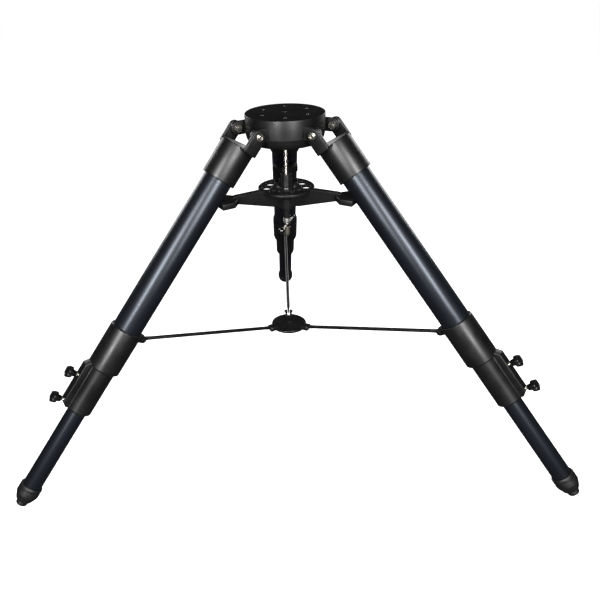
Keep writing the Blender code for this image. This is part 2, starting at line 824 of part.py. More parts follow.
def thrust_ring():
    top = -COLLAR_NUT_BOTTOM - GAP
    bottom = -THRUST_RING_BOTTOM
    return turned(
        [
            (9.0 * MM, top),
            (9.8 * MM, top - 0.8 * MM),
            (9.8 * MM, bottom + 0.8 * MM),
            (9.0 * MM, bottom),
            (ROD_HOLE_R, bottom),
            (ROD_HOLE_R, top),
        ],
        steps=24,
        closed=True,
    )


BAR_R = 2.5 * MM


def bar_direction():
    return Vector((-math.cos(BAR_TURN), -math.sin(BAR_TURN), 0.0))


def tommy_bar():
    along = bar_direction()
    at = Vector((0, 0, -BAR_DROP))
    return cylinder(at - along * BAR_HALF, at + along * BAR_HALF, BAR_R, steps=12)


def bar_ball(hand):
    along = bar_direction() * hand
    centre = Vector((0, 0, -BAR_DROP)) + along * (BAR_HALF + GAP + BALL_R * 0.45)
    body = ball(centre, BALL_R)
    socket = cylinder(
        centre - along * 2 * BALL_R, centre - along * (BALL_R * 0.45), BAR_R + GAP, steps=12
    )
    return cut(body, socket)


def centre_rod():
    at = Vector((0, 0, -BAR_DROP))
    body = cylinder((0, 0, -ROD_BOTTOM), (0, 0, -ROD_TOP), ROD_R, steps=16)
    reach = bar_direction() * 20 * MM
    return cut(body, cylinder(at - reach, at + reach, BAR_R + GAP, steps=12))


def handle_boss():
    """Ball with flat ends, bored for the rod and cross-drilled for the bar."""
    low, high = -HANDLE_BOSS_BOTTOM, -THRUST_RING_BOTTOM - GAP
    profile = [(ROD_HOLE_R, low), (ROD_HOLE_R, high)]
    first = math.asin((high + BAR_DROP) / BALL_R)
    last = math.asin((low + BAR_DROP) / BALL_R)
    for i in range(9):
        rise = first + (last - first) * i / 8
        profile.append((BALL_R * math.cos(rise), BALL_R * math.sin(rise) - BAR_DROP))
    body = turned(profile, steps=24, closed=True)
    at = Vector((0, 0, -BAR_DROP))
    reach = bar_direction() * 2 * BALL_R
    return cut(body, cylinder(at - reach, at + reach, BAR_R + GAP, steps=12))


def handle_nut():
    return turned(
        [
            (7.4 * MM, -HANDLE_BOSS_BOTTOM - GAP),
            (8.2 * MM, -HANDLE_BOSS_BOTTOM - 1.5 * MM),
            (8.2 * MM, -327.0 * MM),
            (7.2 * MM, -334.0 * MM),
            (6.0 * MM, -338.0 * MM),
            (ROD_R + GAP, -338.0 * MM),
            (ROD_R + GAP, -HANDLE_BOSS_BOTTOM - GAP),
        ],
        steps=24,
        closed=True,
    )


placed("tray_spreader", tray_spreader(), BLACK_CASTING, head_frame)
placed("rod_spacer", rod_spacer(), KNOB_PLASTIC, head_frame)
placed("tension_collar", tension_collar(), KNOB_PLASTIC, head_frame)
placed("thrust_ring", thrust_ring(), ZINC, head_frame)
placed("centre_rod", centre_rod(), BRIGHT_STEEL, head_frame)
placed("handle_boss", handle_boss(), GLOSS_PLASTIC, head_frame)
placed("handle_nut", handle_nut(), ZINC, head_frame)
placed("tommy_bar", tommy_bar(), BRIGHT_STEEL, head_frame)
placed("bar_ball_front", bar_ball(1), GLOSS_PLASTIC, head_frame)
placed("bar_ball_back", bar_ball(-1), GLOSS_PLASTIC, head_frame)


# ---- lower spreader hub --------------------------------------------------------------------
HUB_LUG_INSIDE = 3.4 * MM
HUB_LUG_OUTSIDE = 10.0 * MM
HUB_TOP_ABOVE_PIVOT = -2.0 * MM


def lower_hub():
    """Round plate with a shallow crown and three clevises; origin level with the strut pivots."""
    top = HUB_TOP_ABOVE_PIVOT
    body = turned(
        [
            (0.0, top + 2.0 * MM),
            (30.0 * MM, top + 1.5 * MM),
            (HUB_R - 3.0 * MM, top),
            (HUB_R, top - 2.5 * MM),
            (HUB_R, top - HUB_PLATE),
            (0.0, top - HUB_PLATE),
        ],
        steps=36,
    )
    slots = []
    lugs = []
    for azimuth in LEG_AZIMUTHS.values():
        slot = box((42.0 * MM, -HUB_LUG_INSIDE, -20 * MM), (90.0 * MM, HUB_LUG_INSIDE, 20 * MM))
        slots.append(moved(slot, about_axis(azimuth)))
        for hand in (-1, 1):
            outline = tab_outline(43.0 * MM, HUB_PIVOT_R, 7.0 * MM, 7.5 * MM)
            lug = upright(plate(outline, HUB_LUG_OUTSIDE - HUB_LUG_INSIDE - 0.2 * MM))
            middle = hand * (HUB_LUG_INSIDE + HUB_LUG_OUTSIDE + 0.2 * MM) / 2
            moved(lug, Matrix.Translation((0, middle, -2.2 * MM)))
            boss = cylinder(
                (HUB_PIVOT_R, hand * (HUB_LUG_OUTSIDE - 1 * MM), 0),
                (HUB_PIVOT_R, hand * (HUB_LUG_OUTSIDE + 2.5 * MM), 0),
                4.5 * MM,
                steps=10,
            )
            lugs.append(moved(joined(lug, boss), about_axis(azimuth)))
    return joined(cut(body, *slots), *lugs)


hub_frame = frame("hub_frame", Matrix.Translation((0, 0, height(HUB_PIVOT_DROP))))
placed("lower_hub", lower_hub(), BLACK_CASTING, hub_frame)

bpy.context.view_layer.update()
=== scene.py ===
import json
import math

import bmesh
import bpy
from mathutils import Matrix, Vector


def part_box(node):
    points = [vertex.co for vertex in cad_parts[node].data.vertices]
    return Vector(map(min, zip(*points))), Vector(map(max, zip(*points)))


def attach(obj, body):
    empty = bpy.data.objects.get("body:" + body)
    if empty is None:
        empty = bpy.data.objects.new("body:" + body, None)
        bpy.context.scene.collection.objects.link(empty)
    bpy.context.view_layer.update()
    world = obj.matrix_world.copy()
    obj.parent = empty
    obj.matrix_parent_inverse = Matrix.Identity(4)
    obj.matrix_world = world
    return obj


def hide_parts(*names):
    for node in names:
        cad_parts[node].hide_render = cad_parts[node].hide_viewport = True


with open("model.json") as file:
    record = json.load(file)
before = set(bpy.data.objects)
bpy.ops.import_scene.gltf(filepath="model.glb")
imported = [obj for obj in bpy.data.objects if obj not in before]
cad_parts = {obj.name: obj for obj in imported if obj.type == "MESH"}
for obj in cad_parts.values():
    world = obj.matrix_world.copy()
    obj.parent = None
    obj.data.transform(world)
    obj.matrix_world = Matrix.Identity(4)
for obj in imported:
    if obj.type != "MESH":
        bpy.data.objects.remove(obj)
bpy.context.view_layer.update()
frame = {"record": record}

MM = 0.001

joints = {j["name"]: j for j in frame["record"]["behaviour"]["joints"]}
SIDES = ("left", "right", "rear")
HEAD_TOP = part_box("head_casting")[1].z
SPLAY = math.radians(40.0)

# Dimensions that several pieces share, in mm.
PIVOT_OUT, PIVOT_DROP = 112, 34
PIVOT_HOLE_R = 5.3
FIXING_CIRCLE_R = 66
UPPER_TUBE_R, LOWER_TUBE_R = 38.1, 25.4
RIVET_IN, RIVET_DOWN = 54, 596
CLAMP_SCREWS = {"upper": 747, "lower": 824}
ROD_R, ROD_HOLE_R = 5.0, 5.4

LEG_PIVOT = {s: Vector(joints["leg_fold_" + s]["pos_m"]) for s in SIDES}
AZIMUTH = {s: math.atan2(LEG_PIVOT[s].y, LEG_PIVOT[s].x) for s in SIDES}
HEAD = Matrix.Translation((0, 0, HEAD_TOP))


def leg_matrix(side):
    """Leg frame: origin on the pivot, X out of the upper side, Y along the pivot, Z up the leg."""
    turn = Matrix.Rotation(AZIMUTH[side], 4, "Z")
    return Matrix.Translation(LEG_PIVOT[side]) @ turn @ Matrix.Rotation(-SPLAY, 4, "Y")


LEG = {s: leg_matrix(s) for s in SIDES}

# ---- mesh building -------------------------------------------------------------------------
workshop = bpy.data.collections.new("workshop")
bpy.context.scene.collection.children.link(workshop)


def held(mesh, name="work"):
    shape = bpy.data.objects.new(name, mesh)
    workshop.objects.link(shape)
    return shape


def from_bmesh(work, name="work"):
    bmesh.ops.recalc_face_normals(work, faces=work.faces)
    mesh = bpy.data.meshes.new(name)
    work.to_mesh(mesh)
    work.free()
    return held(mesh, name)


def filleted(corners, closed=True, segments=4):
    """Profile corners (radius, z, fillet) in mm become a smooth list of points in metres."""
    points = []
    count = len(corners)
    for i, (r, z, fillet) in enumerate(corners):
        inner = closed or 0 < i < count - 1
        if fillet <= 0 or not inner:
            points.append((r * MM, z * MM))
            continue
        here = Vector((r, z))
        before = Vector(corners[i - 1][:2]) - here
        after = Vector(corners[(i + 1) % count][:2]) - here
        angle = before.angle(after)
        reach = fillet / math.tan(angle / 2)
        reach = min(reach, before.length * 0.48, after.length * 0.48)
        radius = reach * math.tan(angle / 2)
        centre = here + (before.normalized() + after.normalized()).normalized() * (
            radius / math.sin(angle / 2)
        )
        start = here + before.normalized() * reach - centre
        end = here + after.normalized() * reach - centre
        sweep = start.angle_signed(end)
        for k in range(segments + 1):
            turn = -sweep * k / segments
            c, s = math.cos(turn), math.sin(turn)
            arm = Vector((start.x * c - start.y * s, start.x * s + start.y * c))
            points.append(((centre + arm).x * MM, (centre + arm).y * MM))
    return points


def skin(rows, closed):
    """Quads over rows of points. A row of one point is a pole."""
    work = bmesh.new()
    made = [[work.verts.new(p) for p in row] for row in rows]
    pairs = list(zip(made, made[1:]))
    if closed:
        pairs.append((made[-1], made[0]))
    for a, b in pairs:
        n = max(len(a), len(b))
        for i in range(n):
            j = (i + 1) % n
            corners = [a[i % len(a)], a[j % len(a)], b[j % len(b)], b[i % len(b)]]
            corners = [v for k, v in enumerate(corners) if v not in corners[:k]]
            if len(corners) > 2:
                work.faces.new(corners)
    return work


def lathe(corners, steps=96, closed=True, segments=4, lobes=None):
    """A turned solid about Z. lobes(angle, radius, z) may change the radius round the turn."""
    rows = []
    for r, z in filleted(corners, closed, segments):
        if r < 1e-7:
            rows.append([(0, 0, z)])
            continue
        row = []
        for i in range(steps):
            turn = math.tau * i / steps
            radius = lobes(turn, r, z) if lobes else r
            row.append((radius * math.cos(turn), radius * math.sin(turn), z))
        rows.append(row)
    return from_bmesh(skin(rows, closed))


def threaded(radius, pitch, low, high, steps=28, rows_per_turn=5, depth=0.55):
    """A rod about Z with a real helical thread, flat at both ends. All in mm."""
    rows = [[(0, 0, low * MM)]]
    count = int((high - low) / pitch * rows_per_turn)
    for k in range(count + 1):
        z = low + (high - low) * k / count
        row = []
        for i in range(steps):
            turn = math.tau * i / steps
            phase = (z / pitch - i / steps) % 1.0
            r = radius - depth * abs(2 * phase - 1)
            if k in (0, count):
                r = radius - depth
            row.append((r * MM * math.cos(turn), r * MM * math.sin(turn), z * MM))
        rows.append(row)
    rows.append([(0, 0, high * MM)])
    return from_bmesh(skin(rows, False))


def slab(outline, thickness, edge=0.8, segments=3):
    """A flat outline (mm) in XY, made thick about z = 0 with rounded rims."""
    work = bmesh.new()
    base = [work.verts.new((x * MM, y * MM, -thickness / 2 * MM)) for x, y in outline]
    face = work.faces.new(base)
    grown = bmesh.ops.extrude_face_region(work, geom=[face])
    tops = [v for v in grown["geom"] if isinstance(v, bmesh.types.BMVert)]
    bmesh.ops.translate(work, verts=tops, vec=(0, 0, thickness * MM))
    bmesh.ops.recalc_face_normals(work, faces=work.faces)
    if edge > 0:
        rims = [e for e in work.edges if abs(e.verts[0].co.z - e.verts[1].co.z) < 1e-7]
        corners = [
            e
            for e in work.edges
            if abs(e.verts[0].co.z - e.verts[1].co.z) > 1e-7
            and e.calc_face_angle(0.0) > math.radians(30)
        ]
        bmesh.ops.bevel(
            work,
            geom=rims + corners,
            offset=edge * MM,
            segments=segments,
            profile=0.5,
            affect="EDGES",
            clamp_overlap=True,
        )
    return from_bmesh(work)


def block(low, high, edge=0.8, segments=3):
    """A box between two corners in mm with rounded edges."""
    work = bmesh.new()
    bmesh.ops.create_cube(work, size=1.0)
    low, high = Vector(low), Vector(high)
    place = Matrix.Translation((low + high) / 2) @ Matrix.Diagonal((*(high - low), 1.0))
    bmesh.ops.transform(work, matrix=Matrix.Scale(MM, 4) @ place, verts=work.verts)
    if edge > 0:
        bmesh.ops.bevel(
            work,
            geom=work.edges[:],
            offset=edge * MM,
            segments=segments,
            profile=0.5,
            affect="EDGES",
        )
    return from_bmesh(work)


def rod(start, end, radius, steps=32, edge=0.0):
    """A plain cylinder between two points in mm."""
    start, end = Vector(start), Vector(end)
    length = (end - start).length
    shape = lathe(
        [(0, length, 0), (radius, length, edge), (radius, 0, edge), (0, 0, 0)],
        steps,
        closed=False,
        segments=3,
    )
    aim = (end - start).to_track_quat("Z", "Y").to_matrix().to_4x4()
    return moved(shape, Matrix.Translation(start * MM) @ aim)


def mesh_of(shape):
    """The shape's mesh on its own, for pieces that share it."""
    mesh = shape.data
    bpy.data.objects.remove(shape, do_unlink=True)
    return mesh


def moved(shape, *matrices):
    for matrix in matrices:
        shape.data.transform(matrix)
    return shape


def turned_about(shape, azimuth):
    return moved(shape, Matrix.Rotation(azimuth, 4, "Z"))


STAND_UP = Matrix.Rotation(math.pi / 2, 4, "X")


def settled(shape):
    bpy.context.view_layer.update()
    graph = bpy.context.evaluated_depsgraph_get()
    mesh = bpy.data.meshes.new_from_object(shape.evaluated_get(graph))
    bpy.data.objects.remove(shape, do_unlink=True)
    work = bmesh.new()
    work.from_mesh(mesh)
    bmesh.ops.remove_doubles(work, verts=work.verts, dist=0.000002)
    bmesh.ops.dissolve_degenerate(work, edges=work.edges, dist=0.000001)
    work.to_mesh(mesh)
    work.free()
    return held(mesh)


def combined(base, others, operation):
    for other in others:
        step = base.modifiers.new(operation, "BOOLEAN")
        step.operation = operation
        step.solver = "EXACT"
        step.object = other
    made = settled(base)
    for other in others:
        bpy.data.objects.remove(other, do_unlink=True)
    return made


def union(base, *others):
    return combined(base, others, "UNION")


def cut(base, *others):
    return combined(base, others, "DIFFERENCE")


def together(*shapes):
    """Several separate solids as one mesh."""
    work = bmesh.new()
    for shape in shapes:
        work.from_mesh(shape.data)
        bpy.data.objects.remove(shape, do_unlink=True)
    mesh = bpy.data.meshes.new("together")
    work.to_mesh(mesh)
    work.free()
    return held(mesh)


# ---- materials -----------------------------------------------------------------------------
class Nodes:
    """Small helper for laying out one Principled material."""

    def __init__(self, name, colour, roughness, metallic=0.0):
        self.material = bpy.data.materials.new(name)
        self.material.use_nodes = True
        self.tree = self.material.node_tree
        self.shader = self.tree.nodes["Principled BSDF"]
        self.set(self.shader, "Base Color", (*colour, 1.0))
        self.set(self.shader, "Roughness", roughness)
        self.set(self.shader, "Metallic", metallic)
        self.place = self.add("ShaderNodeTexCoord").outputs["Object"]
        self.height = None

    def add(self, kind, **values):
        node = self.tree.nodes.new(kind)
        for key, value in values.items():
            setattr(node, key, value)
        return node

    def set(self, node, socket, value):
        node.inputs[socket].default_value = value

    def link(self, output, target):
        self.tree.links.new(output, target)

    def noise(self, scale, detail=2.0, stretch=None, roughness=0.5):
        node = self.add("ShaderNodeTexNoise")
        self.set(node, "Scale", scale)
        self.set(node, "Detail", detail)
        self.set(node, "Roughness", roughness)
        source = self.place
        if stretch:
            mapping = self.add("ShaderNodeMapping")
            self.set(mapping, "Scale", stretch)
            self.link(source, mapping.inputs["Vector"])
            source = mapping.outputs["Vector"]
        self.link(source, node.inputs["Vector"])
        return node.outputs["Fac"]

    def ranged(self, value, low, high, start=0.3, stop=0.7):
        node = self.add("ShaderNodeMapRange")
        self.set(node, "From Min", start)
        self.set(node, "From Max", stop)
        self.set(node, "To Min", low)
        self.set(node, "To Max", high)
        self.link(value, node.inputs["Value"])
        return node.outputs["Result"]

    def tint(self, value, dark, light):
        ramp = self.add("ShaderNodeValToRGB")
        ramp.color_ramp.elements[0].position = 0.3
        ramp.color_ramp.elements[0].color = (*dark, 1.0)
        ramp.color_ramp.elements[1].position = 0.7
        ramp.color_ramp.elements[1].color = (*light, 1.0)
        self.link(value, ramp.inputs["Fac"])
        self.link(ramp.outputs["Color"], self.shader.inputs["Base Color"])

    def rough(self, value, low, high):
        self.link(self.ranged(value, low, high), self.shader.inputs["Roughness"])

    def bump(self, value, depth, strength=1.0):
        node = self.add("ShaderNodeBump")
        self.set(node, "Distance", depth)
        self.set(node, "Strength", strength)
        self.link(value, node.inputs["Height"])
        if self.height is not None:
            self.link(self.height, node.inputs["Normal"])
        self.height = node.outputs["Normal"]
        self.link(self.height, self.shader.inputs["Normal"])


def powder_coat(name, colour, roughness):
    m = Nodes(name, colour, roughness)
    grain = m.noise(1400.0, 3.0)
    peel = m.noise(260.0, 2.0)
    cloud = m.noise(22.0, 3.0)
    m.tint(cloud, [c * 0.8 for c in colour], [c * 1.25 for c in colour])
    m.rough(cloud, roughness - 0.05, roughness + 0.06)
    m.bump(peel, 0.00012, 0.6)
    m.bump(grain, 0.00005, 0.7)
    return m.material


def tube_coat(name, colour, roughness):
    m = Nodes(name, colour, roughness)
    streak = m.noise(8.0, 4.0, stretch=(60.0, 60.0, 0.8))
    cloud = m.noise(9.0, 3.0)
    fine = m.noise(900.0, 2.0)
    m.tint(cloud, [c * 0.85 for c in colour], [c * 1.2 for c in colour])
    m.rough(streak, roughness - 0.03, roughness + 0.05)
    m.bump(streak, 0.00002, 0.5)
    m.bump(fine, 0.00002, 0.5)
    m.set(m.shader, "Specular Tint", (0.80, 0.87, 1.0, 1.0))
    return m.material


def machined(name, colour, roughness, stretch=(1.0, 1.0, 30.0)):
    m = Nodes(name, colour, roughness, metallic=1.0)
    lines = m.noise(60.0, 4.0, stretch=stretch)
    spots = m.noise(160.0, 3.0)
    m.tint(spots, [c * 0.82 for c in colour], [min(1.0, c * 1.1) for c in colour])
    m.rough(lines, roughness - 0.06, roughness + 0.1)
    m.bump(lines, 0.00001, 0.3)
    return m.material


def moulded(name, colour, roughness, grain_depth=0.00006, coat=0.0):
    m = Nodes(name, colour, roughness)
    grain = m.noise(1100.0, 3.0)
    cloud = m.noise(70.0, 2.0)
    m.tint(cloud, [c * 0.8 for c in colour], [c * 1.3 for c in colour])
    m.rough(cloud, roughness - 0.04, roughness + 0.06)
    m.bump(grain, grain_depth, 0.6)
    if coat:
        m.set(m.shader, "Coat Weight", coat)
        m.set(m.shader, "Coat Roughness", 0.04)
    return m.material


CASTING = powder_coat("casting_black", (0.0028, 0.0027, 0.0026), 0.38)
TUBE = tube_coat("tube_blue_black", (0.0036, 0.0042, 0.0060), 0.34)
STRUT = powder_coat("strut_black", (0.003, 0.003, 0.003), 0.32)
STEEL = machined("steel_bright", (0.66, 0.63, 0.57), 0.24)
RING_STEEL = machined("steel_pale", (0.58, 0.57, 0.54), 0.34)
ZINC = machined("zinc_dull", (0.34, 0.31, 0.25), 0.42)
GLOSS = moulded("ball_gloss", (0.002, 0.002, 0.002), 0.08, 0.000005, coat=1.0)
KNOB = moulded("knob_black", (0.003, 0.003, 0.003), 0.33)
SLEEVE = moulded("sleeve_black", (0.004, 0.004, 0.0045), 0.32, 0.00003)
RUBBER = moulded("rubber_black", (0.003, 0.003, 0.003), 0.48, 0.00015)


# ---- placing pieces ------------------------------------------------------------------------
def piece(name, shape, look, body, stands_for=(), matrix=None, smooth=32.0):
    """Finish a shape as a visible piece that moves with a body."""
    mesh = shape.data if isinstance(shape, bpy.types.Object) else shape
    if not mesh.get("finished"):
        mesh.materials.clear()
        mesh.materials.append(look)
        mesh.shade_smooth()
        mesh.set_sharp_from_angle(angle=math.radians(smooth))
        mesh["finished"] = True
        mesh.name = name
    made = bpy.data.objects.new(name, mesh)
    bpy.context.scene.collection.objects.link(made)
    if matrix is not None:
        made.matrix_world = matrix
    if isinstance(shape, bpy.types.Object):
        bpy.data.objects.remove(shape, do_unlink=True)
    bpy.context.view_layer.update()
    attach(made, body)
    if stands_for:
        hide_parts(*stands_for)
    return made


def tongue(root, tip, half_root, radius, steps=20):
    """Outline in mm: square at the root, rounded about the tip's centre, along +X."""
    points = [(root, -half_root)]
    for i in range(steps + 1):
        turn = math.pi * (i / steps - 0.5)
        points.append((tip + radius * math.cos(turn), radius * math.sin(turn)))
    points.append((root, half_root))
    return points


# ---- head ----------------------------------------------------------------------------------
FIXINGS = 6


def at_fixing(shape, i):
    """Move a shape from the head's axis to fixing hole i."""
    moved(shape, Matrix.Translation((FIXING_CIRCLE_R * MM, 0, 0)))
    return turned_about(shape, math.radians(30 + 60 * i))


def head():
    body = lathe(
        [
            (0, 0, 0),
            (103, 0, 1.6),
            (103, -48, 5),
            (100, -60, 5),
            (96, -67.5, 3),
            (90, -72, 1.5),
            (80, -72, 1.5),
            (80, -16, 4),
            (20, -16, 4),
            (20, -50, 1.5),
            (0, -50, 0),
        ],
        steps=144,
        closed=False,
    )
    lugs = []
    for side in SIDES:
        for hand in (-1, 1):
            lug = slab(tongue(72, PIVOT_OUT, 17, 17), 10.7, edge=1.2)
            place = Matrix.Translation((0, hand * 53.35 * MM, -PIVOT_DROP * MM)) @ STAND_UP
            lugs.append(turned_about(moved(lug, place), AZIMUTH[side]))
    body = union(body, *lugs)
    holes = []
    for side in SIDES:
        hole = rod((PIVOT_OUT, -62, -PIVOT_DROP), (PIVOT_OUT, 62, -PIVOT_DROP), PIVOT_HOLE_R)
        holes.append(turned_about(hole, AZIMUTH[side]))
    for i in range(FIXINGS):
        hole = lathe(
            [(0, 1, 0), (5.4, 1, 0), (5.0, -0.6, 0), (5.0, -12, 0), (0, -12, 0)], 32, closed=False
        )
        holes.append(at_fixing(hole, i))
    holes.append(
        lathe(
            [(0, 1, 0), (7, 1, 0), (ROD_HOLE_R, -1, 0), (ROD_HOLE_R, -52, 0), (0, -52, 0)],
            40,
            closed=False,
        )
    )
    return cut(body, *holes)


piece("head_drum", head(), CASTING, "head", ["head_casting"], HEAD)


def insert():
    """Threaded bush in one fixing hole, seen as a bright ring."""
    return lathe(
        [(2.9, -11, 0), (2.9, -1.0, 0), (3.6, -0.15, 0.2), (4.9, -0.15, 0.3), (4.9, -11, 0)],
        32,
    )


inserts = [at_fixing(insert(), i) for i in range(FIXINGS)]
piece("head_inserts", together(*inserts), STEEL, "head", matrix=HEAD)


# ---- pivot bolts and nuts ------------------------------------------------------------------
def along_y(shape, hand):
    """Lay a shape turned about Z along Y, pointing outwards on the given hand."""
    return moved(shape, Matrix.Rotation(-hand * math.pi / 2, 4, "X"))


def pivot_bolt(hand):
    head_part = lathe(
        [(0, 76.8, 0), (7.9, 76.8, 1.4), (7.9, 71.4, 0.4), (0, 71.4, 0)], 48, closed=False
    )
    washer = lathe([(5.4, 71.3, 0.2), (9.6, 71.3, 0.4), (9.6, 70.3, 0.2), (5.4, 70.3, 0)], 48)
    socket = rod((0, 0, 73.2), (0, 0, 78), 4.4, steps=6)
    shank = rod((0, 0, 44), (0, 0, 72), 5.0, steps=32)
    thread = threaded(5.0, 1.5, 38.8, 44.5, steps=32, rows_per_turn=6)
    return along_y(together(cut(head_part, socket), washer, shank, thread), hand)


def pivot_nut(hand):
    body = rod((0, 0, 40.7), (0, 0, 47.6), 10.2, steps=6)
    cone = lathe(
        [(0, 47.7, 0), (9.3, 47.7, 0.8), (10.1, 46.6, 0), (10.1, 41.8, 0), (9.3, 40.6, 0.8), (0, 40.6, 0)],
        60,
        closed=False,
    )
    body = combined(body, [cone], "INTERSECT")
    return along_y(cut(body, rod((0, 0, 35), (0, 0, 52), 5.2)), hand)


bolts = {"a": mesh_of(pivot_bolt(-1)), "b": mesh_of(pivot_bolt(1))}
nuts = {"a": mesh_of(pivot_nut(-1)), "b": mesh_of(pivot_nut(1))}
for side in SIDES:
    for which in ("a", "b"):
        name = which + "_" + side
        bolt_name, nut_name = "pivot_bolt_" + name, "pivot_nut_" + name
        piece("fine_" + bolt_name, bolts[which], STEEL, "head", [bolt_name], LEG[side])
        piece("fine_" + nut_name, nuts[which], STEEL, "head", [nut_name], LEG[side])


# ---- leg pieces ----------------------------------------------------------------------------
def fork():
    sleeve = lathe(
        [
            (0, -42, 0),
            (45, -42, 1.5),
            (45, -136, 1.5),
            (38.4, -136, 0.5),
            (38.4, -51.7, 0),
            (0, -51.7, 0),
        ],
        steps=112,
        closed=False,
    )
    yoke = block((-18, -69.8, -46), (18, 69.8, -32.5), edge=1.6)
    prongs = []
    for hand in (-1, 1):
        prong = slab(tongue(-47, 0, 18.2, 18), 11, edge=1.3)
        turn = Matrix.Rotation(-math.pi / 2, 4, "Y")
        place = Matrix.Translation((0, hand * 64.5 * MM, 0)) @ turn @ STAND_UP
        prongs.append(moved(prong, place))
    body = union(sleeve, yoke, *prongs)
    return cut(body, rod((0, -80, 0), (0, 80, 0), PIVOT_HOLE_R))


def upper_tube():
    top, bottom, wall = -52, -690, 2.5
    inner = UPPER_TUBE_R - wall
    return lathe(
        [
            (UPPER_TUBE_R, top, 0.4),
            (UPPER_TUBE_R, bottom, 0.4),
            (inner, bottom, 0.3),
            (inner, top, 0.3),
        ],
        steps=128,
    )


def screw_hole(down):
    """Stepped hole for a clamp screw, along X, at a distance below the pivot."""
    bore = lathe(
        [(0, 60, 0), (6.2, 60, 0), (6.2, 53, 0), (4.3, 53, 0), (4.3, 23.4, 0), (0, 23.4, 0)],
        48,
        closed=False,
    )
    moved(bore, Matrix.Rotation(math.pi / 2, 4, "Y"))
    return moved(bore, Matrix.Translation((0, 0, -down * MM)))


def lock():
    body = lathe(
        [
            (41.2, -585, 1.0),
            (43.2, -588, 1.2),
            (43.2, -705.5, 2.5),
            (39.7, -709, 1.0),
            (34.5, -709.2, 1.5),
            (34.5, -837.5, 2.5),
            (31, -841, 1.5),
            (25.7, -841, 0.4),
            (25.7, -690.3, 0),
            (38.4, -690.3, 0),
            (38.4, -585, 0.4),
        ],
        steps=128,
    )
    outline = [(29, -700), (43, -700), (54, -711), (54, -827), (43, -838), (29, -838)]
    pad = moved(slab(outline, 26, edge=2.0, segments=4), STAND_UP)
    step = [(27, -697), (33, -697), (37.5, -701.5), (37.5, -835), (34, -840), (27, -840)]
    skirt = moved(slab(step, 33, edge=2.0, segments=4), STAND_UP)
    parts = [pad, skirt]
    for hand in (-1, 1):
        lug = slab(tongue(41.2, RIVET_IN, 12.3, 9.8), 5.8, edge=0.8)
        turn = Matrix.Rotation(math.pi, 4, "Z")
        place = Matrix.Translation((0, hand * 6.1 * MM, -RIVET_DOWN * MM)) @ turn @ STAND_UP
        parts.append(moved(lug, place))
    body = union(body, *parts)
    cuts = [rod((-RIVET_IN, -20, -RIVET_DOWN), (-RIVET_IN, 20, -RIVET_DOWN), 3.3)]
    cuts += [screw_hole(down) for down in CLAMP_SCREWS.values()]
    return cut(body, *cuts)


def lower_tube():
    top, bottom, wall = -460, -1121, 2.5
    inner = LOWER_TUBE_R - wall
    return lathe(
        [
            (LOWER_TUBE_R, top, 0.4),
            (LOWER_TUBE_R, bottom, 0.4),
            (inner, bottom, 0.3),
            (inner, top, 0.3),
        ],
        steps=112,
    )


def rivet():
    shape = lathe(
        [(0, 12.2, 0), (3.6, 12.0, 1.0), (5.6, 9.4, 0.3), (3.0, 9.3, 0), (3.0, -9.3, 0),
         (5.6, -9.4, 0.3), (3.6, -12.0, 1.0), (0, -12.2, 0)],
        36,
        closed=False,
    )
    moved(shape, Matrix.Rotation(math.pi / 2, 4, "X"))
    return moved(shape, Matrix.Translation((-RIVET_IN * MM, 0, -RIVET_DOWN * MM)))


def boot():
    return lathe(
        [
            (0, -1121.3, 0),
            (25.7, -1121.3, 0),
            (25.7, -1085, 0.8),
            (27.8, -1085, 1.0),
            (30, -1088.5, 1.5),
            (30, -1097, 0.3),
            (29.4, -1097.6, 0.2),
            (29.4, -1099, 0.2),
            (30, -1099.6, 0.3),
            (30, -1112, 2.5),
            (28, -1118, 3.0),
            (21.5, -1133, 1.5),
            (0, -1133, 0),
        ],
        steps=96,
        closed=False,
    )


def tip():
    body = lathe(
        [
            (0, -1133.3, 0),
            (15.5, -1133.3, 0.8),
            (15.5, -1136.6, 0.3),
            (14.8, -1137.2, 0.2),
            (14.8, -1138.2, 0.2),
            (15.5, -1138.8, 0.3),
            (15.5, -1149, 7.0),
            (0, -1149, 0),
        ],
        steps=72,
        closed=False,
        segments=10,
    )
    ground = block((-100, -100, -100), (100, 100, 0), edge=0)
    inverse = LEG["left"].inverted()
    low = LEG["left"] @ Vector((0, 0, -1.149))
    moved(ground, Matrix.Translation((low.x, low.y, 0)), inverse)
    return cut(body, ground)


def stud():
    shape = threaded(4.0, 1.25, 26.2, 73.5, steps=28, rows_per_turn=6, depth=0.45)
    return moved(shape, Matrix.Rotation(math.pi / 2, 4, "Y"))


def knob():
    """Soft lobes round a domed head on a tapered hub."""
    lobes = 6

    def wave(turn, radius, z):
        if z < 0.0712:
            return radius
        return radius * (1.0 - 0.135 * (0.5 - 0.5 * math.cos(lobes * turn)) ** 1.5)

    body = lathe(
        [
            (0, 87, 0),
            (9.5, 86.6, 6.0),
            (15.9, 84.4, 2.6),
            (15.9, 73.6, 2.2),
            (11.0, 71.2, 1.0),
            (9.6, 70.6, 0.5),
            (8.0, 60.6, 0.8),
            (0, 60.6, 0),
        ],
        steps=112,
        closed=False,
        segments=6,
        lobes=wave,
    )
    dish = lathe([(0, 90, 0), (6.6, 90, 0), (6.0, 86.0, 1.2), (0, 85.6, 0)], 64, closed=False)
    body = cut(body, dish, rod((0, 0, 55), (0, 0, 72.6), 4.3))
    return moved(body, Matrix.Rotation(math.pi / 2, 4, "Y"))


